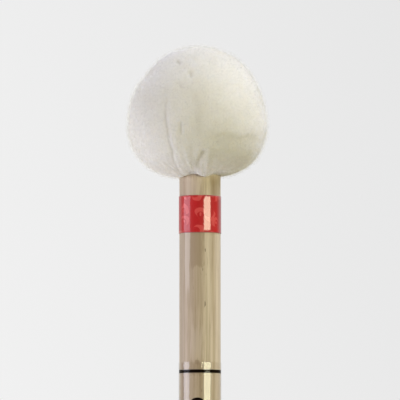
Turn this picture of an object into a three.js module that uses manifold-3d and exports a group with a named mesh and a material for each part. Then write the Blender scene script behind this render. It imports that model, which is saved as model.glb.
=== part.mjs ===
// Timpani mallet: a turned hardwood stick with a gathered felt ball on its end.
// Units are millimetres. +Z runs up the stick, from the middle of the butt at the origin to the head.
// The head is built up as it is on the bench: a turned core screwed on the stick's spigot, a bag of
// firm liner felt, and a bag of soft cover felt, each drawn in round the neck by its own drawstring.

import * as THREE from "three";
import { mergeVertices } from "three/addons/utils/BufferGeometryUtils.js";
import Module from "manifold-3d";

const wasm = await Module();
wasm.setup();

// ---- Driving dimensions ----

const TOTAL_LENGTH = 366;
const STICK_RADIUS = 7;
const SIDES = 32; // facets round the stick and everything wrapped on it
const NESTED_STEPS = 16; // facets up each surface where one layer of the head lies against the next
const OUTER_STEPS = 20; // facets up the outside of the ball
const GLUE_GAP = 0.15; // room between pieces that are glued, pressed or screwed together
const WRAP_GAP = 0.04; // room between a film and what it is stuck to

const BUTT_FLAT_RADIUS = 3.5;
const BUTT_ROUND_HEIGHT = 4;

// The felt ball is fuller below its widest level than above it. Each half is a superellipse in section,
// where an exponent of 2 is a true ellipse and more is squarer.
const BALL = { radius: 23.8, up: 26.4, down: 18.6 };
const UPPER_EXPONENT = 2;
const LOWER_EXPONENT = 2.4;
const COVER_THICKNESS = 4.2;
const LINER_THICKNESS = 3;
const BALL_CENTRE_Z = TOTAL_LENGTH - BALL.up;
const NECK_RADIUS = STICK_RADIUS + GLUE_GAP;

const SPIGOT_RADIUS = 4.75;
const SPIGOT_CHAMFER = 0.8;
const SEAT_UP = 13.4; // floor of the core's counterbore, above the ball's centre
const SEAT_RADIUS = 8.2;
const WASHER = { inner: 2.4, outer: 7.4, thickness: 1.2 };
const SCREW = { root: 1.5, crest: 2, pitch: 1.6, length: 24, plainLength: 4, tipLength: 3 };
const SCREW_HEAD = { radius: 4, rim: 0.9, height: 2.5, slotLength: 4.6, slotWidth: 0.9, slotDepth: 1.3 };
const PILOT_RADIUS = SCREW.crest + 0.1;

const THREAD_RADIUS = 0.35;
const CHANNEL_RADIUS = 0.95; // of the channel in each hem that holds the drawstring
const CHANNEL_CENTRE_RADIUS = NECK_RADIUS + 0.5;
const KNOT_LOOP_RADIUS = 0.32;

const TAPE = { bottom: 302.25, width: 12.7, thickness: 0.17, overlapSides: 3 };
const LABEL = { bottom: 188, width: 70.4, thickness: 0.1, overlapSides: 3 };
const LIFT_SIDES = 2; // facets over which a wrapped film's free end climbs onto its own start
const INK_THICKNESS = 0.05;
const RING_WIDTH = 0.95;
const RING_MARGIN = 2.55; // from the label's edge to the near edge of the ring
const DOT = { radius: 3, fromTop: 14.9, offset: -0.85 };
const BAR = { width: 6, height: 34, fromTop: 37.4 };

// ---- Materials ----

function finish(color, roughness, metalness = 0) {
  return new THREE.MeshStandardMaterial({ color, roughness, metalness });
}

const hardwood = finish(0xb39f7c, 0.4);
const coreWood = finish(0xcdb188, 0.7);
const coverFelt = finish(0xe9e4d3, 0.95);
const linerFelt = finish(0xd9d2bd, 0.95);
const waxedThread = finish(0xe4dcc6, 0.7);
const steel = finish(0xa8a8aa, 0.35, 1);
const redFilm = finish(0xbe3a36, 0.15);
const clearFilm = finish(0xf2efe8, 0.05);
const blackInk = finish(0x120d0a, 0.2);

// ---- Solids ----

function solidOf(geometry) {
  const source = geometry.index ? geometry.toNonIndexed() : geometry;
  const bare = new THREE.BufferGeometry();
  bare.setAttribute("position", source.getAttribute("position"));
  const merged = mergeVertices(bare, 1e-4);
  const vertProperties = merged.attributes.position.array;
  const triVerts = new Uint32Array(merged.index.array);
  return new wasm.Manifold(new wasm.Mesh({ numProp: 3, vertProperties, triVerts }));
}

function geometryOf(solid) {
  const mesh = solid.getMesh();
  const geometry = new THREE.BufferGeometry();
  geometry.setAttribute("position", new THREE.BufferAttribute(mesh.vertProperties, mesh.numProp));
  geometry.setIndex(new THREE.BufferAttribute(mesh.triVerts, 1));
  return geometry;
}

// Turns a profile of [radius, z] points about +Z. The material is on the left of the profile's way.
function turned(profile, sides = SIDES) {
  const points = profile.map(([radius, z]) => new THREE.Vector2(radius, z));
  return new THREE.LatheGeometry(points, sides).rotateX(Math.PI / 2);
}

function steps(count, pointAt) {
  return Array.from({ length: count + 1 }, (_, i) => pointAt(i / count));
}

function arc(centreRadius, centreZ, radius, from, to, count) {
  return steps(count, (t) => {
    const angle = from + (to - from) * t;
    return [centreRadius + radius * Math.cos(angle), centreZ + radius * Math.sin(angle)];
  });
}

// ---- Ball surfaces, nested inside each other, with the ball's centre at the origin ----

function ballInside(inset) {
  return { radius: BALL.radius - inset, up: BALL.up - inset, down: BALL.down - inset };
}

const COVER_INSIDE = ballInside(COVER_THICKNESS);
const LINER_OUTSIDE = ballInside(COVER_THICKNESS + GLUE_GAP);
const LINER_INSIDE = ballInside(COVER_THICKNESS + GLUE_GAP + LINER_THICKNESS);
const CORE_OUTSIDE = ballInside(COVER_THICKNESS + LINER_THICKNESS + 2 * GLUE_GAP);
const CORE_FOOT_RADIUS = STICK_RADIUS + 0.6;

function lowerHeight(ball, radius) {
  return -ball.down * (1 - (radius / ball.radius) ** LOWER_EXPONENT) ** (1 / LOWER_EXPONENT);
}

// From topRadius on the upper half, out round the widest level, and in to footRadius on the lower half.
function ballProfile(ball, topRadius, footRadius, count) {
  const from = Math.asin((topRadius / ball.radius) ** (UPPER_EXPONENT / 2));
  const to = Math.PI - Math.asin((footRadius / ball.radius) ** (LOWER_EXPONENT / 2));
  return steps(count, (t) => {
    const turn = from + (to - from) * t;
    const above = turn < Math.PI / 2;
    const power = 2 / (above ? UPPER_EXPONENT : LOWER_EXPONENT);
    const reach = above ? ball.up : -ball.down;
    return [ball.radius * Math.sin(turn) ** power, reach * Math.abs(Math.cos(turn)) ** power];
  });
}

// ---- The stick, in the mallet's frame ----

const CORE_FOOT_Z = lowerHeight(CORE_OUTSIDE, CORE_FOOT_RADIUS);
const SHOULDER_Z = BALL_CENTRE_Z + CORE_FOOT_Z - GLUE_GAP;
const SPIGOT_TOP_Z = BALL_CENTRE_Z + SEAT_UP - GLUE_GAP;
const SCREW_SEAT_UP = SEAT_UP + WASHER.thickness + 2 * GLUE_GAP;
const SCREW_TIP_UP = SCREW_SEAT_UP - SCREW.length;
const PILOT_FLOOR_Z = BALL_CENTRE_Z + SCREW_TIP_UP - 1;

function stick() {
  const edge = STICK_RADIUS - BUTT_FLAT_RADIUS;
  const buttRound = steps(6, (t) => {
    const turn = (t * Math.PI) / 2;
    return [BUTT_FLAT_RADIUS + edge * Math.sin(turn), BUTT_ROUND_HEIGHT * (1 - Math.cos(turn))];
  });
  return turned([
    [0, 0],
    ...buttRound,
    [STICK_RADIUS, SHOULDER_Z],
    [SPIGOT_RADIUS, SHOULDER_Z],
    [SPIGOT_RADIUS, SPIGOT_TOP_Z - SPIGOT_CHAMFER],
    [SPIGOT_RADIUS - SPIGOT_CHAMFER, SPIGOT_TOP_Z],
    [PILOT_RADIUS, SPIGOT_TOP_Z],
    [PILOT_RADIUS, PILOT_FLOOR_Z + PILOT_RADIUS],
    [0, PILOT_FLOOR_Z],
  ]);
}

// ---- The head, with the ball's centre at the origin ----

// The core has a bore for the spigot, a flat foot on the stick's shoulder and a counterbored seat on top.
function core() {
  const bore = SPIGOT_RADIUS + GLUE_GAP;
  const outside = ballProfile(CORE_OUTSIDE, SEAT_RADIUS, CORE_FOOT_RADIUS, NESTED_STEPS).reverse();
  return turned([
    [bore, CORE_FOOT_Z],
    ...outside,
    [SEAT_RADIUS, SEAT_UP],
    [bore, SEAT_UP],
    [bore, CORE_FOOT_Z],
  ]);
}

function washer() {
  const bottom = SEAT_UP + GLUE_GAP;
  const top = bottom + WASHER.thickness;
  const profile = [
    [WASHER.inner, bottom],
    [WASHER.outer, bottom],
    [WASHER.outer, top],
    [WASHER.inner, top],
    [WASHER.inner, bottom],
  ];
  return turned(profile, 24);
}

// Skins rings of points, each with the same number of sides, into one closed body.
// The first and the last ring each meet at one point.
function skinned(rings, sides) {
  const positions = rings.flatMap(({ radiusAt, z }) =>
    Array.from({ length: sides }, (_, side) => {
      const angle = (side / sides) * 2 * Math.PI;
      const radius = radiusAt(side / sides);
      return [radius * Math.cos(angle), radius * Math.sin(angle), z];
    }).flat(),
  );
  const index = [];
  for (let ring = 0; ring < rings.length - 1; ring++) {
    for (let side = 0; side < sides; side++) {
      const a = ring * sides + side;
      const b = ring * sides + ((side + 1) % sides);
      index.push(a, b, b + sides, a, b + sides, a + sides);
    }
  }
  const geometry = new THREE.BufferGeometry();
  geometry.setAttribute("position", new THREE.Float32BufferAttribute(positions, 3));
  geometry.setIndex(index);
  return geometry;
}

// A cross-slotted pan-head wood screw with a helical thread, standing on its point.
function screw() {
  const ringsPerTurn = 5;
  const threadTop = SCREW.length - SCREW.plainLength;
  const count = Math.round((threadTop / SCREW.pitch) * ringsPerTurn);
  const threadRings = steps(count, (t) => {
    const height = threadTop * t;
    const taper = Math.min(1, height / SCREW.tipLength);
    const radiusAt = (turn) => {
      const phase = (((height / SCREW.pitch - turn) % 1) + 1) % 1;
      const ridge = Math.max(0, 1 - Math.abs(phase - 0.5) * 3);
      return (SCREW.root + (SCREW.crest - SCREW.root) * ridge) * taper;
    };
    return { radiusAt, z: SCREW_TIP_UP + height };
  });
  const plain = (radius, z) => ({ radiusAt: () => radius, z });
  const dome = steps(4, (t) => {
    const turn = (t * Math.PI) / 2;
    const rise = (SCREW_HEAD.height - SCREW_HEAD.rim) * Math.sin(turn);
    return plain(SCREW_HEAD.radius * Math.cos(turn), SCREW_SEAT_UP + SCREW_HEAD.rim + rise);
  });
  const blank = skinned(
    [
      ...threadRings,
      plain(SCREW.root, SCREW_TIP_UP + threadTop + 0.6),
      plain(SCREW.root, SCREW_SEAT_UP),
      plain(SCREW_HEAD.radius, SCREW_SEAT_UP),
      ...dome,
    ],
    12,
  );
  const { slotLength, slotWidth, slotDepth } = SCREW_HEAD;
  const top = SCREW_SEAT_UP + SCREW_HEAD.height;
  const slot = new THREE.BoxGeometry(slotLength, slotWidth, 2 * slotDepth).translate(0, 0, top);
  const crossSlot = slot.clone().rotateZ(Math.PI / 2);
  return geometryOf(solidOf(blank).subtract(solidOf(slot)).subtract(solidOf(crossSlot)));
}

function hemHeight(outside, inside) {
  return (lowerHeight(outside, NECK_RADIUS) + lowerHeight(inside, NECK_RADIUS)) / 2;
}

// A felt bag: an outside and an inside ball that meet at the neck in a hem with the drawstring's channel.
function feltBag(outside, inside, outsideSteps) {
  const mouth = Math.acos((NECK_RADIUS - CHANNEL_CENTRE_RADIUS) / CHANNEL_RADIUS);
  const hem = hemHeight(outside, inside);
  return turned([
    ...ballProfile(inside, 0, NECK_RADIUS, NESTED_STEPS),
    ...arc(CHANNEL_CENTRE_RADIUS, hem, CHANNEL_RADIUS, mouth, -mouth, 6),
    ...ballProfile(outside, 0, NECK_RADIUS, outsideSteps).reverse(),
  ]);
}

// One turn of waxed thread round the neck, closed by a knot of small loops.
function drawstring(outside, inside) {
  const ring = solidOf(new THREE.TorusGeometry(CHANNEL_CENTRE_RADIUS, THREAD_RADIUS, 6, SIDES));
  const loops = [0.5, 1.6, 2.6].map((turn) =>
    new THREE.TorusGeometry(KNOT_LOOP_RADIUS, THREAD_RADIUS * 0.8, 6, 8)
      .rotateX(turn)
      .rotateZ(2 * turn)
      .translate(0, CHANNEL_CENTRE_RADIUS, 0),
  );
  const tied = loops.reduce((solid, loop) => solid.add(solidOf(loop)), ring);
  return geometryOf(tied).translate(0, 0, hemHeight(outside, inside));
}

// ---- Films wrapped round the stick ----

// A strip a little longer than one turn, so that its free end lies on its own start.
function wrappedFilm({ bottom, width, thickness, overlapSides }, innerRadius, startSide) {
  const lift = thickness + WRAP_GAP;
  const sideCount = SIDES + overlapSides;
  const edge = (extra) =>
    steps(sideCount, (t) => {
      const side = t * sideCount;
      const climb = THREE.MathUtils.smoothstep(side, SIDES - LIFT_SIDES, SIDES);
      const angle = ((startSide + side) / SIDES) * 2 * Math.PI;
      const radius = innerRadius + extra + lift * climb;
      return new THREE.Vector2(radius * Math.cos(angle), radius * Math.sin(angle));
    });
  const outline = new THREE.Shape([...edge(thickness), ...edge(0).reverse()]);
  const strip = new THREE.ExtrudeGeometry(outline, { depth: width, bevelEnabled: false });
  return strip.translate(0, 0, bottom);
}

const FILM_INNER_RADIUS = STICK_RADIUS + WRAP_GAP;
const LABEL_INNER_RADIUS = FILM_INNER_RADIUS + INK_THICKNESS + WRAP_GAP;
const LABEL_TOP = LABEL.bottom + LABEL.width;
const UPPER_RING_BOTTOM = LABEL_TOP - RING_MARGIN - RING_WIDTH;
const LOWER_RING_BOTTOM = LABEL.bottom + RING_MARGIN;

// The label is printed on its underside, so each mark is a thin shell between the film and the wood.
function inkBand(bottom, height) {
  const outer = FILM_INNER_RADIUS + INK_THICKNESS;
  return turned([
    [FILM_INNER_RADIUS, bottom],
    [outer, bottom],
    [outer, bottom + height],
    [FILM_INNER_RADIUS, bottom + height],
    [FILM_INNER_RADIUS, bottom],
  ]);
}

// A mark on the front of the stick: the part of an ink band that a flat outline cuts out along Y.
function inkMark(outline, height, x, z) {
  const reach = 2 * STICK_RADIUS;
  const cutter = new THREE.ExtrudeGeometry(outline, { depth: reach, bevelEnabled: false, curveSegments: 16 })
    .rotateX(Math.PI / 2)
    .translate(x, 0, z);
  return geometryOf(solidOf(inkBand(z - height, 2 * height)).intersect(solidOf(cutter)));
}

function barOutline(width, height) {
  const round = width / 2;
  const straight = height / 2 - round;
  return new THREE.Shape()
    .absarc(0, straight, round, 0, Math.PI)
    .absarc(0, -straight, round, Math.PI, 2 * Math.PI);
}

function inkDot() {
  const outline = new THREE.Shape().absarc(0, 0, DOT.radius, 0, 2 * Math.PI);
  return inkMark(outline, DOT.radius, DOT.offset, LABEL_TOP - DOT.fromTop);
}

function inkBar() {
  return inkMark(barOutline(BAR.width, BAR.height), BAR.height / 2, DOT.offset, LABEL_TOP - BAR.fromTop);
}

// ---- The assembly ----

function place(group, name, geometry, material) {
  const mesh = new THREE.Mesh(geometry, material);
  mesh.name = name;
  group.add(mesh);
}

const mallet = new THREE.Group();
place(mallet, "shaft", stick(), hardwood);
place(mallet, "marker_tape", wrappedFilm(TAPE, FILM_INNER_RADIUS, 6), redFilm);
place(mallet, "label_film", wrappedFilm(LABEL, LABEL_INNER_RADIUS, 8), clearFilm);
place(mallet, "printed_ring_upper", inkBand(UPPER_RING_BOTTOM, RING_WIDTH), blackInk);
place(mallet, "printed_ring_lower", inkBand(LOWER_RING_BOTTOM, RING_WIDTH), blackInk);
place(mallet, "printed_dot", inkDot(), blackInk);
place(mallet, "printed_bar", inkBar(), blackInk);

const head = new THREE.Group();
head.position.z = BALL_CENTRE_Z;
mallet.add(head);
place(head, "core", core(), coreWood);
place(head, "core_washer", washer(), steel);
place(head, "core_screw", screw(), steel);
place(head, "liner_felt", feltBag(LINER_OUTSIDE, LINER_INSIDE, NESTED_STEPS), linerFelt);
place(head, "liner_drawstring", drawstring(LINER_OUTSIDE, LINER_INSIDE), waxedThread);
place(head, "cover_felt", feltBag(BALL, COVER_INSIDE, OUTER_STEPS), coverFelt);
place(head, "cover_drawstring", drawstring(BALL, COVER_INSIDE), waxedThread);

export default mallet;
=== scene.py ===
"""Looks of the timpani mallet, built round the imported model. Lengths are in metres."""

import math

import bpy
import numpy as np
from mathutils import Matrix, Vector, noise


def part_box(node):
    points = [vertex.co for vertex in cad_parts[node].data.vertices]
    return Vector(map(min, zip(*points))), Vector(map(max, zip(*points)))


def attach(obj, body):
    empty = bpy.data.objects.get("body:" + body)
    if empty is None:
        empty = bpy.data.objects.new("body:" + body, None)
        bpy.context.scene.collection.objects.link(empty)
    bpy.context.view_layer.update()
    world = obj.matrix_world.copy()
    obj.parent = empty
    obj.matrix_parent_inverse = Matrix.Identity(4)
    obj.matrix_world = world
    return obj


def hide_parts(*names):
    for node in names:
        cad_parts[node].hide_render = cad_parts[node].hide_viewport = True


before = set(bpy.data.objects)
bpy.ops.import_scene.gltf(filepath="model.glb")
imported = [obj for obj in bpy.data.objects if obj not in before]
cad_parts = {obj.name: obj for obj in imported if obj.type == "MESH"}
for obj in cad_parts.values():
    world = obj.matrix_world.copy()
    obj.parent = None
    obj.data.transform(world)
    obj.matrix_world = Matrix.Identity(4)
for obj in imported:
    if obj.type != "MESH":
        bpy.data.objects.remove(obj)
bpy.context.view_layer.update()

MM = 0.001
SEED = 11

# ---- Sizes taken from the frame ----


def reach(node):
    """How far a node round the stick's axis stands out from it."""
    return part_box(node)[1][0]


STICK_RADIUS = reach("shaft")
NAP_DEPTH = 0.3 * MM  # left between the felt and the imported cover's surface, for the nap
BALL_RADIUS = reach("cover_felt") - NAP_DEPTH
HEAD_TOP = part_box("cover_felt")[1][2]

# The ball's widest level and the roundness of its halves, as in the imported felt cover.
CENTRE_BELOW_TOP = 26.4 * MM
BALL_UP = 26.4 * MM
BALL_DOWN = 18.5 * MM
UPPER_EXPONENT = 2.0
LOWER_EXPONENT = 2.4
FELT_THICKNESS = 3.6 * MM
NECK_GAP = 0.15 * MM
BALL_CENTRE = Vector((0, 0, HEAD_TOP - CENTRE_BELOW_TOP))

# ---- What the materials show ----

CURL_SPACING = 5.4 * MM  # between the curls of the tape's pattern
NAP_COVERAGE = 0.4  # share of the light that a wool fibre stops
FILM_GLOSS = 0.052  # share of the light that the clear film sends back, seen square on

# Darker and paler grain on the stick's front, in mm, and one dark patch that is the ball's painted
# shadow. Each patch has its middle and half width across, its foot and top up the stick, how softly
# it ends, and last how strongly it shows.
DARK_GRAIN_AND_SHADOW = [
    (-1.2, 2.2, 290, 308, 1.5, 0.65),
    (-1.3, 2.6, 276, 308, 3, 0.25),
    (-1.7, 0.8, 261, 276, 5, 0.2),
    (-1.0, 1.9, 254, 258.6, 1.5, 0.5),
    (-0.9, 0.7, 257.5, 259.0, 0.4, 0.7),
    # Painted shadow of the ball on the stick's right, just under the head.
    (5.2, 1.6, 308, 321, 2, 0.5),
    (-1.0, 2.5, 222, 258.6, 1.5, 0.15),
    (-5.8, 0.4, 222, 258.4, 0.6, 0.6),
]
PALE_GRAIN = [
    (-4.3, 0.8, 282, 307, 6, 0.75),
    (-1.6, 2.2, 309, 321, 2, 0.35),
    (-1.0, 2.2, 260.5, 271, 4, 0.3),
]


# ---- Material building ----


def colour(red, green, blue):
    """A linear colour from display values of 0 to 255."""
    return (*(((c / 255 + 0.055) / 1.055) ** 2.4 for c in (red, green, blue)), 1)


class Finish:
    """A material being built round one Principled surface."""

    def __init__(self, name, **surface):
        self.made = bpy.data.materials.new(name)
        self.made.use_nodes = True
        self.tree = self.made.node_tree
        self.surface = self.tree.nodes["Principled BSDF"]
        self.dress(**surface)

    def feed(self, socket, value):
        if isinstance(value, bpy.types.NodeSocket):
            self.tree.links.new(value, socket)
        else:
            socket.default_value = value

    def dress(self, **surface):
        """Sets or links the surface's inputs, named with _ for each space."""
        for name, value in surface.items():
            self.feed(self.surface.inputs[name.replace("_", " ")], value)

    def add(self, kind, inputs, output=0, **settings):
        node = self.tree.nodes.new("ShaderNode" + kind)
        for name, value in settings.items():
            setattr(node, name, value)
        for name, value in inputs.items():
            self.feed(node.inputs[name], value)
        return node.outputs[output]

    def place(self, scale=(1, 1, 1)):
        """Position in the part's frame, stretched by scale."""
        here = self.add("TexCoord", {}, output="Object")
        return self.add("VectorMath", {0: here, 1: scale}, operation="MULTIPLY")

    def attribute(self, name, output="Fac"):
        return self.add("Attribute", {}, output=output, attribute_name=name)

    def noise(self, vector, scale, detail=3.0, roughness=0.5, distortion=0.0):
        inputs = {
            "Vector": vector,
            "Scale": scale,
            "Detail": detail,
            "Roughness": roughness,
            "Distortion": distortion,
        }
        return self.add("TexNoise", inputs)

    def maths(self, operation, a, b=0.0, c=0.0):
        return self.add("Math", {0: a, 1: b, 2: c}, operation=operation)

    def between(self, value, low, high, to_low=0.0, to_high=1.0):
        """Maps low..high smoothly to to_low..to_high."""
        inputs = {
            "Value": value,
            "From Min": low,
            "From Max": high,
            "To Min": to_low,
            "To Max": to_high,
        }
        return self.add("MapRange", inputs, interpolation_type="SMOOTHSTEP")

    def blend(self, share, first, second, how="MIX"):
        """Two colours mixed by share."""
        inputs = {"Factor": share, 6: first, 7: second}
        return self.add("Mix", inputs, output=2, data_type="RGBA", blend_type=how)

    def bump(self, height, distance, strength=1.0):
        return self.add("Bump", {"Height": height, "Distance": distance, "Strength": strength})

    def replace_surface(self, shader):
        """Shows another shader in place of the Principled surface."""
        self.tree.nodes.remove(self.surface)
        self.feed(self.tree.nodes["Material Output"].inputs["Surface"], shader)


def felt(name, light, shade, crease_shade_colour, nap_scale):
    """Wool felt: matted fibres, cloudy tone, a whitish sheen, and painted shade darkening its
    pleats.
    """
    f = Finish(name, Roughness=0.95, Specular_IOR_Level=0.12)
    f.dress(Sheen_Weight=0.6, Sheen_Roughness=0.5, Sheen_Tint=(1, 1, 1, 1))
    clouds = f.noise(f.place(), 90, detail=4, roughness=0.55)
    tone = f.blend(f.between(clouds, 0.3, 0.7), shade, light)
    fibres = f.noise(f.place(), nap_scale, detail=5, roughness=0.7, distortion=1.6)
    speckle = f.between(fibres, 0.3, 0.7, 0.99, 1.005)
    grey = f.add("CombineColor", {0: speckle, 1: speckle, 2: speckle})
    speckled = f.blend(1.0, tone, grey, "MULTIPLY")
    # Painted shade: the crease attribute darkens the bottoms of the pleats towards the crease shade
    # colour.
    f.dress(Base_Color=f.blend(f.attribute("crease"), speckled, crease_shade_colour))
    f.dress(Normal=f.bump(fibres, 0.09 * MM, 0.4))
    f.dress(Subsurface_Weight=0.3, Subsurface_Radius=(1.0, 0.9, 0.7), Subsurface_Scale=1.6 * MM)
    return f.made


def nap_fibre():
    """A wool fibre: pale, lit from both sides, and so thin that what lies behind it shows."""
    f = Finish("nap_fibre")
    clouds = f.noise(f.place(), 160, detail=2)
    tone = f.blend(clouds, colour(174, 172, 165), colour(186, 184, 178))
    lit = f.add("BsdfDiffuse", {"Color": tone})
    lit_through = f.add("BsdfTranslucent", {"Color": tone})
    wool = f.add("AddShader", {0: lit, 1: lit_through})
    behind = f.add("BsdfTransparent", {})
    f.replace_surface(f.add("MixShader", {0: NAP_COVERAGE, 1: behind, 2: wool}))
    return f.made


def grain_and_shadow_patches(f, patches, across, height, front, ragged):
    """How strongly patches of grain and painted shadow show on the stick's front, with ragged sides
    and ends.
    """
    strongest = 0.0
    for middle, half, foot, top, fade, strength in patches:
        off = f.maths("ABSOLUTE", f.maths("SUBTRACT", across, middle * MM))
        off = f.maths("ADD", f.maths("DIVIDE", off, half * MM), ragged)
        level = f.maths("MULTIPLY_ADD", ragged, fade * 1.5 * MM, height)
        up = f.between(level, (foot - fade / 2) * MM, (foot + fade / 2) * MM)
        down = f.between(level, (top + fade / 2) * MM, (top - fade / 2) * MM)
        ends = f.maths("MULTIPLY", up, down)
        patch = f.maths("MULTIPLY", ends, f.between(off, 1.2, 0.8, 0, strength))
        strongest = f.maths("MAXIMUM", patch, strongest)
    return f.maths("MULTIPLY", strongest, front)


def lacquered_wood():
    """Straight-grained hardwood with bands, streaks, pores and flecks, under a satin lacquer."""
    f = Finish("lacquered_wood", Coat_Weight=0.1, Coat_Roughness=0.3, Specular_IOR_Level=0.3)
    bands = f.noise(f.place((1, 1, 0.03)), 260, detail=3, roughness=0.6)
    stripes = f.noise(f.place((1, 1, 0.016)), 800, detail=2)
    streaks = f.noise(f.place((1, 1, 0.045)), 1500, detail=4, roughness=0.65)
    pores = f.noise(f.place((1, 1, 0.06)), 3100, detail=2)
    flecks = f.noise(f.place((1, 1, 0.3)), 800, detail=1)
    across = f.add("SeparateXYZ", {0: f.place()}, output="X")
    height, depth = across.node.outputs["Z"], across.node.outputs["Y"]
    front = f.between(depth, 0, -2 * MM)
    ragged = f.between(streaks, 0.25, 0.75, -0.5, 0.5)
    dark = grain_and_shadow_patches(f, DARK_GRAIN_AND_SHADOW, across, height, front, ragged)
    pale = grain_and_shadow_patches(f, PALE_GRAIN, across, height, front, ragged)
    ground = f.blend(f.between(bands, 0.35, 0.68), colour(214, 198, 171), colour(197, 178, 147))
    striped = f.blend(f.between(stripes, 0.4, 0.62, 0, 0.6), ground, colour(184, 165, 134))
    # The dark patches blend in wood figure and, under the head, the ball's painted shadow.
    figured_and_shadowed = f.blend(dark, striped, colour(152, 130, 100))
    streaked = f.blend(f.between(streaks, 0.45, 0.72, 0, 0.5), figured_and_shadowed, colour(160, 136, 110))
    pored = f.blend(f.between(pores, 0.66, 0.76, 0, 0.4), streaked, colour(128, 106, 80))
    flecked = f.blend(f.between(flecks, 0.74, 0.78, 0, 0.6), pored, colour(84, 62, 42))
    rosy = f.blend(f.between(across, 2 * MM, -3 * MM, 0, 0.3), flecked, colour(176, 148, 130))
    sided = f.blend(pale, rosy, colour(216, 200, 182))
    # Painted shade darkens the front's left edge, and painted light pales its right edge.
    left_edge_painted_shade = f.maths("MULTIPLY", f.between(across, -4.6 * MM, -7 * MM, 0, 0.3), front)
    right_edge_painted_light = f.maths("MULTIPLY", f.between(across, 4.6 * MM, 6.6 * MM, 0, 0.25), front)
    with_painted_edge_shade = f.blend(left_edge_painted_shade, sided, colour(132, 128, 122))
    f.dress(Base_Color=f.blend(right_edge_painted_light, with_painted_edge_shade, colour(236, 224, 204)))
    f.dress(Roughness=f.between(streaks, 0.3, 0.7, 0.5, 0.6))
    relief = f.maths("ADD", f.maths("MULTIPLY", streaks, 0.6), f.maths("MULTIPLY", pores, -0.4))
    f.dress(Normal=f.bump(relief, 0.05 * MM, 0.5))
    return f.made


def turned_wood():
    """Unfinished core wood with lathe rings."""
    f = Finish("turned_wood", Roughness=0.75)
    grain = f.noise(f.place((1, 1, 0.06)), 700, detail=4)
    f.dress(Base_Color=f.blend(grain, colour(214, 190, 152), colour(186, 158, 118)))
    lathe = {"Vector": f.place(), "Scale": 260}
    rings = f.add("TexWave", lathe, bands_direction="Z", output="Fac")
    f.dress(Normal=f.bump(rings, 0.05 * MM, 0.4))
    return f.made


def plated_steel():
    f = Finish("plated_steel", Metallic=1.0)
    scuffs = f.noise(f.place(), 900, detail=5, roughness=0.7)
    f.dress(Base_Color=f.blend(scuffs, colour(176, 176, 178), colour(204, 203, 200)))
    f.dress(Roughness=f.between(scuffs, 0.3, 0.7, 0.25, 0.45))
    return f.made


def waxed_thread():
    f = Finish("waxed_thread", Roughness=0.6)
    wound = {"Vector": f.place(), "Scale": 700}
    twist = f.add("TexWave", wound, bands_direction="DIAGONAL", output="Fac")
    f.dress(Base_Color=f.blend(twist, colour(205, 196, 172), colour(236, 230, 212)))
    f.dress(Normal=f.bump(twist, 0.08 * MM, 0.6))
    return f.made


def swirl_foil():
    """Red decorative film with open curls and dots of paler foil under a clear gloss.

    The pattern has one curl in each cell of its spacing: an arc that is open on a random side and
    thins towards its ends, and in some cells a dot in its middle.
    """
    f = Finish("swirl_foil", Roughness=0.5, Specular_IOR_Level=0.25)
    f.dress(Coat_Roughness=0.03, Coat_IOR=1.62)
    wrap = f.attribute("wrap", "Vector")
    wander = f.add("TexNoise", {"Vector": wrap, "Scale": 300, "Detail": 1.0}, output="Color")
    centred = f.add("VectorMath", {0: wander, 1: (0.5, 0.5, 0.5)}, operation="SUBTRACT")
    drift = f.add("VectorMath", {0: centred, "Scale": 1.8 * MM}, operation="SCALE")
    swayed = f.add("VectorMath", {0: wrap, 1: drift}, operation="ADD")
    cells = {"Vector": swayed, "Scale": 1 / CURL_SPACING, "Randomness": 0.8}
    spacing = f.add("TexVoronoi", cells, output="Distance", voronoi_dimensions="2D")
    cell = spacing.node.outputs
    out = f.add("VectorMath", {0: swayed, 1: cell["Position"]}, operation="SUBTRACT")
    way = f.add("VectorMath", {0: out}, operation="NORMALIZE")
    chance = f.add("SeparateColor", {0: cell["Color"]}, output="Red")
    turn = f.maths("MULTIPLY", chance, 2 * math.pi)
    gap_way = f.add("CombineXYZ", {0: f.maths("COSINE", turn), 1: f.maths("SINE", turn)})
    gap = f.add("VectorMath", {0: way, 1: gap_way}, output="Value", operation="DOT_PRODUCT")
    radius = f.between(chance, 0, 1, 0.36, 0.24)
    off = f.maths("ABSOLUTE", f.maths("SUBTRACT", spacing, radius))
    half_width = f.between(gap, -0.9, 0.6, 0.13, 0)
    inside = f.maths("SUBTRACT", half_width, off)
    dot = f.maths("MULTIPLY", f.between(spacing, 0.1, 0.06), f.between(chance, 0.6, 0.65))
    curls = f.maths("MAXIMUM", f.between(inside, -0.02, 0.03), dot)
    glint = f.noise(wrap, 1500, detail=2)
    deep = f.blend(glint, colour(196, 26, 30), colour(206, 36, 38))
    pattern = f.blend(f.maths("MULTIPLY", curls, 0.9), deep, colour(228, 84, 80))
    across = f.add("SeparateXYZ", {0: f.place()}, output="X")
    # Painted shade greys the tape along its left and right sides.
    side_painted_shade = f.between(f.maths("ABSOLUTE", across), 5.4 * MM, 7.0 * MM, 0, 0.4)
    up = f.add("SeparateXYZ", {0: wrap}, output="Y")
    (_, _, foot), (_, _, head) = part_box("marker_tape")
    top = head - foot
    foot_cut = f.between(up, 0.4 * MM, 0.1 * MM, 0, 0.6)
    top_cut = f.between(up, top - 0.35 * MM, top, 0, 0.5)
    cut_edges_and_side_shade = f.maths("MAXIMUM", side_painted_shade, f.maths("MAXIMUM", foot_cut, top_cut))
    # Grey at the foot and top cuts, and painted shade along the sides.
    f.dress(Base_Color=f.blend(cut_edges_and_side_shade, pattern, colour(122, 98, 96)))
    f.dress(Coat_Weight=f.between(across, -3.5 * MM, 0, 0.55, 1))
    rolled = f.maths("MULTIPLY", f.between(up, 0, 0.9 * MM), f.between(up, top, top - 0.5 * MM))
    f.dress(Coat_Normal=f.bump(rolled, 0.3 * MM))
    f.dress(Normal=f.bump(curls, 0.02 * MM, 0.4))
    return f.made


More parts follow.
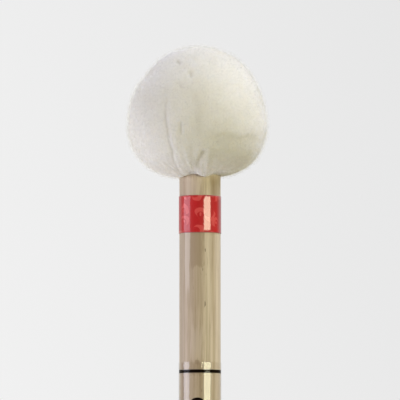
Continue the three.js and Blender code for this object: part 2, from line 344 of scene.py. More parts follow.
def clear_film():
    """Thin clear film: what lies under it shows through, with a crisp gloss on top.

    The gloss is full on the right and on the far left, and weak between them and over the rings.
    """
    f = Finish("clear_film")
    ripple = f.noise(f.place((1, 1, 0.3)), 420, detail=2)
    surface = f.bump(ripple, 0.02 * MM, 0.25)
    through = f.add("BsdfTransparent", {"Color": (0.985, 0.98, 0.97, 1)})
    gloss = f.add("BsdfAnisotropic", {"Color": (1, 1, 1, 1), "Roughness": 0.03, "Normal": surface})
    edge_on = f.add("LayerWeight", {"Blend": 0.5}, output="Facing")
    share = f.maths("MULTIPLY_ADD", f.maths("POWER", edge_on, 5.0), 1 - FILM_GLOSS, FILM_GLOSS)
    across = f.add("SeparateXYZ", {0: f.place()}, output="X")
    height = across.node.outputs["Z"]
    on_left = f.between(across, -3.9 * MM, -3.5 * MM, 1.18, 0.2)
    on_right = f.between(across, -1 * MM, 0)
    crisp = f.maths("MAXIMUM", on_left, on_right)
    share = f.maths("MULTIPLY", share, crisp)
    for ring in ("printed_ring_upper", "printed_ring_lower"):
        (_, _, low), (_, _, high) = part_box(ring)
        away = f.maths("ABSOLUTE", f.maths("SUBTRACT", height, (low + high) / 2))
        off_ink = f.between(away, (high - low) * 0.42, (high - low) * 0.55, 0.2, 1)
        share = f.maths("MULTIPLY", share, off_ink)
    f.replace_surface(f.add("MixShader", {0: share, 1: through, 2: gloss}))
    return f.made


def clear_back():
    """The film's inner side, which adds no gloss of its own."""
    f = Finish("clear_back")
    tint = f.noise(f.place(), 200, detail=1)
    clear = f.blend(tint, (0.99, 0.99, 0.985, 1), (1, 1, 1, 1))
    f.replace_surface(f.add("BsdfTransparent", {"Color": clear}))
    return f.made


def printed_ink():
    f = Finish("printed_ink", Roughness=0.6, Specular_IOR_Level=0.05)
    dots = f.noise(f.place(), 2600, detail=2)
    f.dress(Base_Color=f.blend(dots, colour(12, 6, 1), colour(26, 15, 5)))
    return f.made


# ---- Mesh building ----


def smooth(share):
    """Eases a share in and out between 0 and 1."""
    share = np.clip(share, 0, 1)
    return share * share * (3 - 2 * share)


def new_piece(name, points, faces, material, slot):
    mesh = bpy.data.meshes.new(name)
    mesh.from_pydata([tuple(p) for p in points], [], [tuple(map(int, f)) for f in faces])
    mesh.validate()
    piece = bpy.data.objects.new(name, mesh)
    bpy.context.scene.collection.objects.link(piece)
    mesh.materials.append(material)
    mesh.shade_smooth()
    mesh.set_sharp_from_angle(angle=math.radians(50))
    return piece


def grid_faces(rows, columns, round_columns=True):
    """Quads between neighbouring rows of points, counting columns round if they close."""
    i, j = np.meshgrid(np.arange(rows - 1), np.arange(columns - (not round_columns)), indexing="ij")
    here = i * columns + j
    beside = i * columns + (j + 1) % columns
    return np.stack([here, beside, beside + columns, here + columns], axis=-1).reshape(-1, 4)


def turned(profile, sides):
    """A closed body turned about the Z axis from (radius, z) pairs that start and end on it."""
    ends = [profile[0][1], profile[-1][1]]
    ring = np.array(profile[1:-1])
    angle = np.arange(sides) / sides * 2 * math.pi
    circle = np.stack([np.cos(angle), np.sin(angle)], axis=-1)
    flat = np.concatenate([(ring[:, None, :1] * circle).reshape(-1, 2), np.zeros((2, 2))])
    heights = np.concatenate([np.repeat(ring[:, 1], sides), ends])
    points = np.column_stack([flat, heights])
    faces = [list(f) for f in grid_faces(len(ring), sides)]
    first, last = len(points) - 2, len(points) - 1
    top = (len(ring) - 1) * sides
    for j in range(sides):
        after = (j + 1) % sides
        faces.append([first, after, j])
        faces.append([last, top + j, top + after])
    return points, faces


def store(piece, name, kind, values):
    """Keeps one value for each point of a piece's mesh, for its material to read."""
    layer = piece.data.attributes.new(name, kind, "POINT")
    key = "vector" if kind == "FLOAT_VECTOR" else "value"
    layer.data.foreach_set(key, np.asarray(values, dtype=np.float32).ravel())


# ---- The stick ----


def stick(material):
    """The stick with its rounded butt, and the spigot that goes up into the core."""
    (_, _, foot), (_, _, spigot_top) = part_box("shaft")
    flat = 3.5 * MM
    butt_height = 4.0 * MM
    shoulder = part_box("core")[0][2] - NECK_GAP
    spigot = 4.75 * MM
    bevel = 0.25 * MM
    chamfer = 0.8 * MM
    screw_hole = 2.1 * MM
    edge = STICK_RADIUS - flat
    profile = [(0, foot), (flat * 0.6, foot), (flat, foot)]
    for t in np.linspace(0, 1, 14)[1:]:
        turn = t * math.pi / 2
        profile.append((flat + edge * math.sin(turn), foot + butt_height * (1 - math.cos(turn))))
    straight = np.linspace(foot + butt_height, shoulder - bevel, 60)[1:]
    profile += [(STICK_RADIUS, z) for z in straight]
    profile += [
        (STICK_RADIUS - bevel, shoulder),
        (spigot + bevel, shoulder),
        (spigot, shoulder + bevel),
        (spigot, spigot_top - chamfer),
        (spigot - chamfer, spigot_top),
        (screw_hole, spigot_top),
        (screw_hole, shoulder + 4 * MM),
        (0, shoulder + 2 * MM),
    ]
    piece = new_piece("stick", *turned(profile, 128), material, "stick_wood")
    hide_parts("shaft")
    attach(piece, "root")


# ---- Films and print on the stick ----

FILM_GAP = 0.04 * MM
CLIMB = 0.03  # turns in which a film's free end rises onto its own start
INK_DEPTH = 0.05 * MM
INK_SPREAD = 0.09 * MM  # how far a ring's ink runs past its edges in the frame

# Air bubbles under the tape's top edge: where round the stick, and how wide, in turns.
TAPE_BUBBLES = [(0.49, 0.012), (0.545, 0.008), (0.60, 0.010)]

# The tent in the label's top edge: where round the stick and how wide, in turns, how far it reaches
# down as a share of the label's height, and how far it stands off.
TENT_AT, TENT_WIDTH, TENT_REACH, TENT_LIFT = 0.498, 0.012, 0.028, 0.35 * MM


def wrapped_strip(name, node, start, overlap, thickness, inner, material, slot, shift, back=None):
    """A strip of film wrapped a little over one turn, its free end lying on its own start.

    start and overlap are in turns. shift(turn, height) says how far each point stands off the
    smooth roll and up its length, in metres. back is the inner side's material, where that differs.
    """
    (_, _, low), (_, _, high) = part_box(node)
    columns, rows = 200, 41
    along = np.linspace(0, 1 + overlap, columns)
    up = np.linspace(0, 1, rows)
    climb = smooth((along - (1 - CLIMB)) / CLIMB) * (thickness + FILM_GAP)
    turn, height = np.meshgrid(along, up)
    radial, vertical = shift(turn, height)
    angle = (start + turn) * 2 * math.pi
    sheets = []
    for skin in (0, thickness):
        radius = inner + skin + climb[None] + radial
        z = low + (high - low) * height + vertical
        sheets.append(np.stack([radius * np.cos(angle), radius * np.sin(angle), z], axis=-1))
    points = np.concatenate([s.reshape(-1, 3) for s in sheets])
    inside = grid_faces(rows, columns, round_columns=False)
    outside = inside + rows * columns
    faces = [list(f[::-1]) for f in inside] + [list(f) for f in outside]
    count = rows * columns
    bottom = list(range(columns))
    top = [count - columns + j for j in range(columns)]
    left = [i * columns for i in range(rows)]
    right = [i * columns + columns - 1 for i in range(rows)]
    for line, flip in ((bottom, False), (top, True), (left, True), (right, False)):
        for a, b in zip(line, line[1:]):
            rim = [a, b, b + count, a + count]
            faces.append(rim[::-1] if flip else rim)
    piece = new_piece(name, points, faces, material, slot)
    if back:
        piece.data.materials.append(back)
        sides = np.zeros(len(faces), dtype=np.int32)
        sides[: len(inside)] = 1
        piece.data.polygons.foreach_set("material_index", sides)
    wrap = np.stack([turn * 2 * math.pi * inner, height * (high - low), 0 * turn], axis=-1)
    store(piece, "wrap", "FLOAT_VECTOR", np.tile(wrap.reshape(-1, 3), (2, 1)))
    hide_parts(node)
    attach(piece, "root")


def tape_shift(turn, height):
    """The tape's top edge lifts over small air bubbles, and the tape's edges wander a little."""
    edge = np.exp(-(((1 - height) / 0.06) ** 2))
    lift = np.zeros_like(turn)
    for at, width in TAPE_BUBBLES:
        lift += np.exp(-(((turn - at) / width) ** 2)) * edge
    wander = 0.05 * MM * np.sin(turn * 2 * math.pi * 2 + 1) * (height - 0.5)
    return lift * 0.12 * MM, wander


def label_shift(turn, height):
    """A small tent in the film's top edge, where it was stuck down over a grain of dust."""
    near = np.exp(-(((turn - TENT_AT) / TENT_WIDTH) ** 2))
    down = np.clip(1 - (1 - height) / TENT_REACH, 0, 1)
    return near * down * TENT_LIFT, 0 * turn


def ink_patch(name, node, material, columns=64, rows=24):
    """A printed mark with round ends on the stick's front."""
    (x0, _, z0), (x1, _, z1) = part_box(node)
    radius = STICK_RADIUS + FILM_GAP
    middle = (x0 + x1) / 2
    points = []
    for skin in (0, INK_DEPTH):
        for v in np.linspace(0, 1, rows):
            half = round_ended(v, (x1 - x0) / 2, z1 - z0)
            for u in np.linspace(-1, 1, columns):
                angle = math.asin((middle + u * half) / radius)
                r = radius + skin
                points.append((r * math.sin(angle), -r * math.cos(angle), z0 + (z1 - z0) * v))
    inside = grid_faces(rows, columns, round_columns=False)
    count = rows * columns
    faces = [list(f[::-1]) for f in inside] + [list(f + count) for f in inside]
    for j in range(columns - 1):
        top = count - columns + j
        faces.append([j, j + 1, j + 1 + count, j + count])
        faces.append([top + 1, top, top + count, top + 1 + count])
    for i in range(rows - 1):
        left, right = i * columns, i * columns + columns - 1
        faces.append([left + columns, left, left + count, left + columns + count])
        faces.append([right, right + columns, right + columns + count, right + count])
    piece = new_piece(name, points, faces, material, "black_ink")
    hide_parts(node)
    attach(piece, "root")


def round_ended(v, half, height):
    """Half width at v, a share of the height, of a bar with round ends or of a disc."""
    from_end = min(v, 1 - v) * height
    if from_end >= half:
        return half
    return math.sqrt(max(half**2 - (half - from_end) ** 2, (0.02 * half) ** 2))


def ink_ring(name, node, material):
    (_, _, low), (_, _, high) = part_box(node)
    low, high = low - INK_SPREAD, high + INK_SPREAD
    inner = STICK_RADIUS + FILM_GAP
    outer = inner + INK_DEPTH
    sides = 128
    angle = np.arange(sides) / sides * 2 * math.pi
    section = [(inner, low), (outer, low), (outer, high), (inner, high)]
    points = [(r * math.cos(a), r * math.sin(a), z) for r, z in section for a in angle]
    faces = []
    for i in range(4):
        for j in range(sides):
            k = (j + 1) % sides
            n = (i + 1) % 4
            faces.append([i * sides + j, i * sides + k, n * sides + k, n * sides + j])
    piece = new_piece(name, points, faces, material, "black_ink")
    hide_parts(node)
    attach(piece, "root")


# ---- The felt head ----


class Pleat:
    """A crease in the felt, pressed in along a path from its start down to its end.

    path gives (azimuth in degrees, height above the ball's centre in mm). Azimuth 0 is the front
    and counts to the right. depth is in mm, and so are left and right, how far the felt slopes on
    each side. fade is how far below its start the crease reaches its depth, and tail is how far
    past its end it still shows.
    """

    def __init__(self, path, depth, left=0.8, right=0.8, fade=3.0, tail=0.5):
        self.azimuth, self.height = np.array(path, dtype=float).T[:, ::-1]
        self.depth, self.left, self.right = depth, left, right
        self.fade, self.tail = fade, tail

    def reading(self, azimuth, height, radius):
        """How strongly the crease marks each point, from 0 to 1, and how far aside the point is."""
        line = np.interp(height, self.height, self.azimuth)
        away = (azimuth - line + 180) % 360 - 180
        side = np.radians(away) * radius
        strength = smooth((self.height[-1] - height) / self.fade)
        strength = strength * smooth((height - self.height[0]) / self.tail + 1)
        return strength, side

    def slope(self, side):
        """How far down the crease's sides each point is, from 1 at the bottom towards 0."""
        width = np.where(side < 0, self.left, self.right)
        return np.exp(-(np.sqrt((side / width) ** 2 + 0.09) - 0.3))


PLEATS = [
    Pleat(
        [(-27, 12), (-28, 2), (-26, -4), (-25.5, -11), (-32, -16), (-42, -18)],
        0.42,
        3.8,
        0.7,
        fade=14,
    ),
    Pleat([(-5, 11), (-1, 7), (2, 3), (1.5, -3)], 0.15, 5.2, 2.0, fade=5, tail=5),
    Pleat([(-13.4, -1.0), (-13.6, -4.8)], 0.4, 0.4, 0.3, fade=1, tail=1),
    Pleat([(6, -10.2), (3.5, -12.2), (-2, -15)], 0.5, 1.2, 1.3, fade=1.0, tail=2),
    Pleat([(-5, -6), (-7, -12), (-10, -18)], 0.2, 0.7, 1.6, fade=5, tail=3),
    Pleat([(-16, -1), (-15, -10), (-18, -18)], 0.12, 1.4, 0.8, fade=6, tail=3),
    Pleat([(-29.5, 21.2), (-22, 19.4)], 0.55, 0.45, 0.4, fade=0.5),
    Pleat([(-19, 13), (-14, 10)], 0.15, 0.9, 0.5, fade=1, tail=1),
    Pleat([(-8.2, 16.6), (-5.9, 14.6)], 0.5, 0.45, 0.4, fade=0.5),
    Pleat([(-70, -9), (-66, -14), (-62, -18)], 0.12, 1.4, 1.4, fade=4),
    Pleat([(84, -6), (86, -12), (80, -18)], 0.2, 1.2, 1.2, fade=5),
    Pleat([(121, 3), (118, -8), (124, -18)], 0.35, 1.0, 2.4, fade=8),
    Pleat([(156, 8), (160, -4), (158, -18)], 0.25, 2.4, 0.8, fade=9),
    Pleat([(196, -6), (199, -12), (197, -18)], 0.35, 0.8, 1.0, fade=4),
    Pleat([(231, 6), (226, -6), (230, -18)], 0.3, 1.0, 1.8, fade=8),
    Pleat([(265, -8), (268, -13), (264, -18)], 0.25, 0.8, 0.8),
]

# Broad hollows where the stuffing gives, and swellings where their depth is negative: azimuth,
# height, depth, and half sizes across and up, in mm.
HOLLOWS = [
    (19, -8, 0.45, 3.5, 2.6),
    (-50, 17, 0.55, 8, 5),
    (-90, 17, 0.5, 12, 3.5),
    (-85, -14, -0.15, 12, 4),
    (-80, -17.5, -0.4, 10, 2.5),
    (90, 21, -0.4, 12, 4),
    (90, -2, -0.4, 12, 4),
    (90, -16.5, 0.35, 11, 3.5),
    (140, -6, 0.6, 10, 6),
    (215, 8, 0.5, 12, 7),
]

# The overhang low on the front's right: its first and last azimuth, its height, how far the felt
# steps in under it, and how much further it falls away below, in mm.
OVERHANG = (10, 66, -4.8, 0.24, 0.1)

# The rim at the neck hangs in lobes: how many there are, one's azimuth, and how far they reach down
# and draw up, in mm.
RIM_LOBES, RIM_LOWEST, RIM_REACH = 5, 14, 0.7

HEAD_LEAN = 0.96 * MM  # to the left


def overhang(azimuth, height):
    """How far each point steps in under the overhang's wavy edge, in mm."""
    first, last, level, step, fall = OVERHANG
    wave, waves, step_height, fall_height, neck = 0.5, 14, 1.8, 9, -18.4
    below = level - height + wave * np.cos(np.radians(azimuth) * waves)
    under = step * smooth(below / step_height) + fall * np.clip(below / fall_height, 0, 1)
    span = smooth((azimuth - first) / 7) * smooth((last - azimuth) / 14)
    return under * span * smooth((height - neck) / 4)


def ball_section(inset, top, foot, rows):
    """(radius, height) down the ball's side, inset from its surface, between two radii."""
    radius, up, down = BALL_RADIUS - inset, BALL_UP - inset, BALL_DOWN - inset
    start = math.asin((top / radius) ** (UPPER_EXPONENT / 2))
    end = math.pi - math.asin((foot / radius) ** (LOWER_EXPONENT / 2))
    turn = np.linspace(start, end, rows)
    above = turn < math.pi / 2
    power = np.where(above, 2 / UPPER_EXPONENT, 2 / LOWER_EXPONENT)
    height = np.where(above, up, -down) * np.abs(np.cos(turn)) ** power
    return radius * np.sin(turn) ** power, height


def felt_cage():
    """The felt bag's coarse mesh: its outside from crown to neck, its hem, and its inside."""
    sides, outside_rows, inside_rows = 72, 34, 12
    first_ring = 1.2 * MM
    hem_radius = STICK_RADIUS + NECK_GAP
    rim_radius, lining_radius = hem_radius + 0.9 * MM, hem_radius + 0.3 * MM
    out_r, out_z = ball_section(0, first_ring, rim_radius, outside_rows)
    in_r, in_z = ball_section(FELT_THICKNESS, first_ring, lining_radius, inside_rows)
    hem_r = [hem_radius + 0.25 * MM, hem_radius, hem_radius]
    hem_z = [out_z[-1] + 0.1 * MM, out_z[-1] + 0.8 * MM, in_z[-1] - 0.6 * MM]
    radius = np.concatenate([out_r, hem_r, in_r[::-1]])
    height = np.concatenate([out_z, hem_z, in_z[::-1]])
    angle = np.arange(sides) / sides * 2 * math.pi
    x = radius[:, None] * np.cos(angle)
    y = radius[:, None] * np.sin(angle)
    z = np.repeat(height[:, None], sides, axis=1) + BALL_CENTRE.z
    points = np.stack([x, y, z], axis=-1).reshape(-1, 3)
    pole = BALL_CENTRE.z + BALL_UP
    points = np.concatenate([points, [(0, 0, pole), (0, 0, pole - FELT_THICKNESS)]])
    rows = len(radius)
    faces = [list(f[::-1]) for f in grid_faces(rows, sides)]
    crown, ceiling = len(points) - 2, len(points) - 1
    last = (rows - 1) * sides
    for j in range(sides):
        k = (j + 1) % sides
        faces.append([crown, j, k])
        faces.append([ceiling, last + k, last + j])
    free = np.zeros(len(points))
    free[: outside_rows * sides] = 1
    free[crown] = 1
    return points, faces, free


def polar(points):
    """Azimuth from the front in degrees, then height above the centre and radius in mm."""
    azimuth = np.degrees(np.arctan2(points[:, 0], -points[:, 1]))
    height = (points[:, 2] - BALL_CENTRE.z) / MM
    return azimuth, height, np.hypot(points[:, 0], points[:, 1]) / MM


def coordinates(piece):
    flat = np.empty(len(piece.data.vertices) * 3)
    piece.data.vertices.foreach_get("co", flat)
    return flat.reshape(-1, 3)


def set_coordinates(piece, points):
    piece.data.vertices.foreach_set("co", points.ravel())
    piece.data.update()


def normals(piece):
    flat = np.empty(len(piece.data.vertices) * 3)
    piece.data.vertex_normals.foreach_get("vector", flat)
    return flat.reshape(-1, 3)


def apply_modifiers(piece):
    depsgraph = bpy.context.evaluated_depsgraph_get()
    mesh = bpy.data.meshes.new_from_object(piece.evaluated_get(depsgraph))
    piece.modifiers.clear()
    piece.data = mesh


def swell(piece, free, frames=20, pressure=4.0, cap=0.9 * MM):
    """Lets the stuffed felt swell between its pleats as cloth under pressure, by cap at most."""
    before = coordinates(piece)
    azimuth, height, radius = polar(before)
    held = 1 - free
    grip = 1.6  # mm to each side of a pleat
    for pleat in PLEATS:
        strength, side = pleat.reading(azimuth, height, radius)
        held = np.maximum(held, free * strength * np.exp(-((side / grip) ** 2)))
    group = piece.vertex_groups.new(name="held")
    for i, weight in enumerate(held):
        group.add([i], float(weight), "REPLACE")
    cloth = piece.modifiers.new("swell", "CLOTH").settings
    cloth.use_pressure = True
    cloth.uniform_pressure_force = pressure
    cloth.vertex_group_mass = "held"
    cloth.tension_stiffness = 15
    cloth.bending_stiffness = 4
    cloth.effector_weights.gravity = 0
    scene = bpy.context.scene
    for now in range(1, frames + 1):
        scene.frame_set(now)
    apply_modifiers(piece)
    scene.frame_set(1)
    moved = coordinates(piece) - before
    length = np.linalg.norm(moved, axis=1, keepdims=True)
    moved *= np.minimum(1, cap / np.maximum(length, 1e-9))
    moved -= moved.mean(axis=0)
    set_coordinates(piece, before + moved * (1 - held[:, None]))


def subdivide(piece, levels):
    finer = piece.modifiers.new("finer", "SUBSURF")
    finer.levels = levels
    finer.render_levels = levels
    apply_modifiers(piece)


def creased(azimuth, height, radius, weigh=lambda pleat: 1.0):
    """How much each point lies in the bottom of a pleat, from 0 to 1."""
    share = np.zeros(len(azimuth))
    for pleat in PLEATS:
        strength, side = pleat.reading(azimuth, height, radius)
        width = 0.65 * min(pleat.left, pleat.right)
        share = np.maximum(share, weigh(pleat) * strength * np.exp(-((side / width) ** 2)))
    return share


def fractal(points, scale, octaves):
    """Smooth repeatable noise of about -1 to 1 at each point."""
    size = Vector((1, 1, 1)) * scale
    return np.array([noise.fractal(Vector(p) * size, 0.6, 2.0, octaves) for p in points.tolist()])


def puckers(azimuth, height, radius):
    """Small upright wrinkles, in mm: a band up the front, and more all round towards the neck."""
    round_the_ball = np.radians(azimuth) * (BALL_RADIUS / MM)
    across, up = round_the_ball * 0.62, height * 0.07
    grain = fractal(np.column_stack([across, up, 0 * height]), 1.0, 3)
    band = np.exp(-(((azimuth + 13) / 13) ** 4)) * smooth((20 - height) / 12)
    neck = smooth((-height - 9) / 8)
    return grain * (0.08 * band + 0.14 * neck)


def sculpt(piece, outside):
    """Presses the pleats into the felt, waves its rim at the neck and roughens its surface."""
    points = coordinates(piece)
    out = normals(piece)
    azimuth, height, radius = polar(points)
    crease = creased(azimuth, height, radius, weigh=lambda pleat: pleat.depth)
    push = puckers(azimuth, height, radius)
    for pleat in PLEATS:
        strength, side = pleat.reading(azimuth, height, radius)
        push -= strength * pleat.depth * pleat.slope(side)
    for at, level, depth, wide, tall in HOLLOWS:
        across = np.radians((azimuth - at + 180) % 360 - 180) * radius / wide
        push -= depth * np.exp(-(across**2) - ((height - level) / tall) ** 2)
    push -= overhang(azimuth, height)
    uneven = 0.5 * np.sin(np.radians(azimuth * 2))
    lobes = np.cos(np.radians(azimuth - RIM_LOWEST) * RIM_LOBES + uneven)
    near_neck = np.clip((13 - radius) / 5, 0, 1) * np.clip((-height - 13) / 5, 0, 1)
    on_right = smooth((azimuth - 40) / 30) * smooth((130 - azimuth) / 30)
    near_neck *= 1 - 0.9 * on_right
    fine, broad = fractal(points, 420.0, 3) * 0.04, fractal(points, 60.0, 2) * 0.22
    push += fine + broad
    points = points + out * (push * outside * MM)[:, None]
    points[:, 2] -= lobes * near_neck * outside * RIM_REACH * MM
    set_coordinates(piece, points)
    # The crease attribute carries the painted shade for the bottoms of the pleats.
    store(piece, "crease", "FLOAT", np.clip(crease * outside, 0, 1))
    store(piece, "outside", "FLOAT", outside)


def lean(piece):
    """Moves the ball, above its neck, a little to the left of the stick's axis."""
    points = coordinates(piece)
    _, height, _ = polar(points)
    points[:, 0] -= HEAD_LEAN * np.clip((height + 19) / 12, 0, 1)
    set_coordinates(piece, points)


def outside_share(piece):
    """1 on the felt's outer surface and 0 on its hem and inside."""
    points = coordinates(piece)
    _, height, radius = polar(points)
    up = np.where(height > 0, BALL_UP, BALL_DOWN) / MM
    power = np.where(height > 0, UPPER_EXPONENT, LOWER_EXPONENT)
    level = (radius / (BALL_RADIUS / MM)) ** power + (np.abs(height) / up) ** power
    off_hem = np.clip((radius - STICK_RADIUS / MM - 0.2) / 0.8, 0, 1)
    return np.clip((level - 0.8) / 0.1, 0, 1) * np.where(height < 0, off_hem, 1)


def felt_cover(material):
    """The soft felt head: swollen as cloth, subdivided, sculpted and leant."""
    points, faces, free = felt_cage()
    piece = new_piece("felt_cover", points, faces, material, "cover_felt")
    swell(piece, free)
    subdivide(piece, 2)
    outside = outside_share(piece)
    sculpt(piece, outside)
    lean(piece)
    piece.data.shade_smooth()
    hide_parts("cover_felt")
    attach(piece, "root")
    return piece


NAP_FIBRES = 42000

# In mm: the fibres' least and greatest length, how high and how far aside they curve, and their
# least and greatest half width at the root. The taper has shares of the length and of the width.
FIBRE_LENGTH = (0.8, 2.6)
FIBRE_RISE = 1.7
FIBRE_BEND = 0.45
FIBRE_HALF_WIDTH = (0.010, 0.020)
FIBRE_TAPER = ((0, 1.0), (0.38, 0.9), (0.72, 0.7))
FIBRE_ARCH = 0.6 * math.pi


def nap(cover, material, count):
    """Loose wool fibres that stand out of the felt: tapering ribbons, curved, lying every way."""
    random = np.random.default_rng(SEED)
    mesh = cover.data
    mesh.calc_loop_triangles()
    corners = np.empty(len(mesh.loop_triangles) * 3, dtype=np.int64)
    mesh.loop_triangles.foreach_get("vertices", corners)
    corners = corners.reshape(-1, 3)
    points, out = coordinates(cover), normals(cover)
    outside = np.empty(len(points))
    mesh.attributes["outside"].data.foreach_get("value", outside)
    corners = corners[outside[corners].min(axis=1) > 0.9]
    a, b, c = (points[corners[:, i]] for i in range(3))
    area = np.linalg.norm(np.cross(b - a, c - a), axis=1)
    area *= 1 - 0.8 * creased(*polar(a))
    chosen = random.choice(len(corners), count, p=area / area.sum())
    u, v = random.random((2, count, 1))
    flip = u + v > 1
    u, v = np.where(flip, 1 - u, u), np.where(flip, 1 - v, v)
    root = a[chosen] + u * (b - a)[chosen] + v * (c - a)[chosen]
    normal = out[corners[chosen, 0]]
    aim = np.cross(normal, random.normal(size=(count, 3)))
    aim /= np.linalg.norm(aim, axis=1, keepdims=True)
    across = np.cross(normal, aim)
    length = random.uniform(*FIBRE_LENGTH, (count, 1)) * MM
    rise = random.beta(1.5, 2.6, (count, 1)) * FIBRE_RISE * MM
    bend = random.normal(size=(count, 1)) * FIBRE_BEND * MM
    roll = random.uniform(0, math.pi, (count, 1))
    width_way = np.cos(roll) * across + np.sin(roll) * normal
    half_width = random.uniform(*FIBRE_HALF_WIDTH, (count, 1)) * MM
    lines = []
    for share, width in FIBRE_TAPER:
        arch = math.sin(share * FIBRE_ARCH)
        spine = root + aim * length * share + normal * rise * arch + across * bend * share**2
        side = width_way * half_width * width
        lines += [spine - side, spine + side]
    tip = root + aim * length + normal * rise * math.sin(FIBRE_ARCH) + across * bend
    vertices = np.stack([*lines, tip], axis=1).reshape(-1, 3)
    base = (np.arange(count) * 7)[:, None]
    faces = [base + quad for quad in (np.array([0, 1, 3, 2]), np.array([2, 3, 5, 4]))]
    tips = base + np.array([4, 5, 6])
    everything = [list(f) for quads in faces for f in quads] + [list(f) for f in tips]
    piece = new_piece("felt_nap", vertices, everything, material, "cover_felt")
    piece.visible_shadow = piece.visible_diffuse = False
    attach(piece, "root")


# ---- Stage ----

AIM = Vector((0, 0, 313.8 * MM))
CAMERA_DISTANCE = 1.53
CAMERA_ELEVATION = -4.4
LENS = 405


def towards(azimuth, elevation):
    """The direction azimuth degrees to the right of the front and elevation degrees up."""
    a, e = math.radians(azimuth), math.radians(elevation)
    return Vector((math.sin(a) * math.cos(e), -math.cos(a) * math.cos(e), math.sin(e)))


def camera():
    data = bpy.data.cameras.new("camera")
    data.lens = LENS
    data.clip_end = 50
    seen_from = bpy.data.objects.new("camera", data)
    back = towards(0, CAMERA_ELEVATION)
    seen_from.location = AIM + back * CAMERA_DISTANCE
    seen_from.rotation_euler = (-back).to_track_quat("-Z", "Y").to_euler()
    bpy.context.scene.collection.objects.link(seen_from)
    bpy.context.scene.camera = seen_from


# Softboxes: azimuth, elevation, distance, width, height, radiance and colour.
SOFTBOXES = {
    "key_over": (84, 70, 1.5, 0.9, 0.9, 3.3, (0.91, 0.94, 1)),
    "key_high": (84, 46, 1.6, 1.7, 0.8, 4.25, (0.66, 0.71, 1)),
    "key_strip": (39.8, 3, 1.6, 1.1, 0.5, 8.4, (1, 0.99, 0.73)),
    "left": (-77, -8, 1.6, 1.29, 1.49, 3.9, (0.83, 0.85, 1)),
    "low_left": (-100, -48, 1.5, 1.4, 1.1, 1.55, (0.88, 0.89, 1)),
    "rim_left": (-138, -25, 1.5, 1.2, 1.3, 0.8, (0.96, 1, 0.65)),
}


def softbox(name, azimuth, elevation, distance, width, height, radiance, tint):
    data = bpy.data.lights.new(name, "AREA")
    data.shape = "RECTANGLE"
    data.size, data.size_y = width, height
    data.energy = radiance * math.pi * width * height
    data.color = tint
    light = bpy.data.objects.new(name, data)
    way = towards(azimuth, elevation)
    light.location = BALL_CENTRE + way * distance
    light.rotation_euler = way.to_track_quat("Z", "Y").to_euler()
    light.visible_camera = False
    bpy.context.scene.collection.objects.link(light)


# The room's light by direction, from behind the camera (-1), where it is dark, to the back (1).
ROOM = {
    -1.0: (0.05, 0.05, 0.05),
    -0.88: (0.05, 0.05, 0.05),
    -0.7: (0.13, 0.10, 0.05),
    0.2: (0.13, 0.10, 0.05),
    0.8: (0.62, 0.61, 0.60),
}
PAPER_LEFT = colour(240, 240, 240)
PAPER_RIGHT = colour(232, 232, 232)
# The backdrop is a shade lighter low down than high up.
PAPER_LIFT = {"From Min": 0.03, "From Max": 0.12, "To Min": 1.012, "To Max": 0.985}


def surroundings():
    """A pale backdrop for the camera, lighter on the left, and a soft room for all else."""
    world = bpy.data.worlds.new("studio")
    world.use_nodes = True
    tree = world.node_tree
    tree.nodes.clear()

    def add(kind, inputs, output=0):
        node = tree.nodes.new("ShaderNode" + kind)
        for name, value in inputs.items():
            if isinstance(value, bpy.types.NodeSocket):
                tree.links.new(value, node.inputs[name])
            else:
                node.inputs[name].default_value = value
        return node.outputs[output]

    def ramp(value, stops):
        """Colours at stops along a value that runs from -1 to 1."""
        share = add("MapRange", {"Value": value, "From Min": -1, "From Max": 1})
        shades = add("ValToRGB", {"Fac": share})
        elements = shades.node.color_ramp.elements
        while len(elements) < len(stops):
            elements.new(0.5)
        for element, (at, shade) in zip(elements, sorted(stops.items())):
            element.position = (at + 1) / 2
            element.color = (*shade[:3], 1)
        return shades

    way = add("TexCoord", {}, output="Generated")
    x, y, z = add("SeparateXYZ", {0: way}).node.outputs
    lift = add("MapRange", {"Value": z, **PAPER_LIFT})
    shade = ramp(x, {-0.05: PAPER_LEFT, 0.05: PAPER_RIGHT})
    paper = add("Background", {"Color": shade, "Strength": lift})
    room = add("Background", {"Color": ramp(y, ROOM)})
    is_camera = add("LightPath", {}, output="Is Camera Ray")
    mixed = add("MixShader", {0: is_camera, 1: room, 2: paper})
    result = tree.nodes.new("ShaderNodeOutputWorld")
    tree.links.new(mixed, result.inputs["Surface"])
    bpy.context.scene.world = world


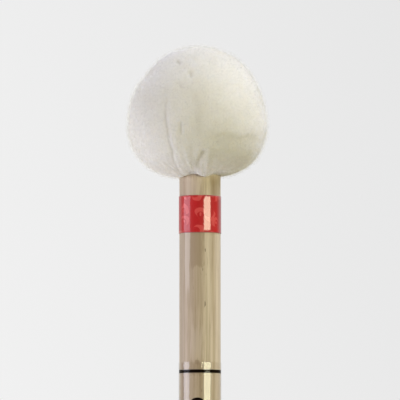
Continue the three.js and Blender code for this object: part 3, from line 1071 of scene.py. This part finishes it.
def floor():
    """Plain pale paper under the butt, which sends no light on the object."""
    half = 3.0
    corners = [(-half, -half, 0), (half, -half, 0), (half, half, 0), (-half, half, 0)]
    f = Finish("floor_paper", Roughness=0.9, Specular_IOR_Level=0.0)
    mottle = f.noise(f.place(), 30, detail=3)
    f.dress(Base_Color=f.blend(mottle, colour(38, 38, 38), colour(41, 41, 41)))
    f.dress(Emission_Color=colour(236, 236, 236), Emission_Strength=0.97)
    mesh = bpy.data.meshes.new("floor")
    mesh.from_pydata(corners, [], [(0, 1, 2, 3)])
    mesh.materials.append(f.made)
    plane = bpy.data.objects.new("floor", mesh)
    bpy.context.scene.collection.objects.link(plane)
    plane.visible_diffuse = plane.visible_glossy = plane.visible_shadow = False


# ---- Putting it together ----

camera()
surroundings()
floor()
for box_name, values in SOFTBOXES.items():
    softbox(box_name, *values)
bpy.context.scene.view_settings.view_transform = "Standard"

# The felt's lighter and darker tones, then the painted shade colour for its pleats.
soft_tones = (colour(232, 228, 219), colour(227, 223, 212), colour(168, 158, 132))
cover = felt_cover(felt("soft_felt", *soft_tones, 2300))
nap(cover, nap_fibre(), NAP_FIBRES)

stick(lacquered_wood())
wrapped_strip(
    "tape_band",
    "marker_tape",
    start=67.5 / 360,
    overlap=0.09,
    thickness=0.17 * MM,
    inner=STICK_RADIUS + FILM_GAP,
    material=swirl_foil(),
    slot="red_film",
    shift=tape_shift,
)
ink = printed_ink()
ink_ring("print_ring_upper", "printed_ring_upper", ink)
ink_ring("print_ring_lower", "printed_ring_lower", ink)
ink_patch("print_dot", "printed_dot", ink)
ink_patch("print_bar", "printed_bar", ink)
wrapped_strip(
    "label_wrap",
    "label_film",
    start=90 / 360,
    overlap=0.09,
    thickness=0.1 * MM,
    inner=STICK_RADIUS + 0.13 * MM,
    material=clear_film(),
    slot="clear_film",
    shift=label_shift,
    back=clear_back(),
)

# The liner felt's tones, the last being its painted pleat shade colour.
firm_tones = (colour(222, 214, 194), colour(206, 196, 172), colour(190, 180, 150))
hidden_finishes = {
    "core": turned_wood(),
    "core_washer": plated_steel(),
    "core_screw": plated_steel(),
    "liner_felt": felt("firm_felt", *firm_tones, 2600),
    "liner_drawstring": waxed_thread(),
    "cover_drawstring": waxed_thread(),
}
for node, material in hidden_finishes.items():
    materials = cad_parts[node].data.materials
    materials.clear()
    materials.append(material)
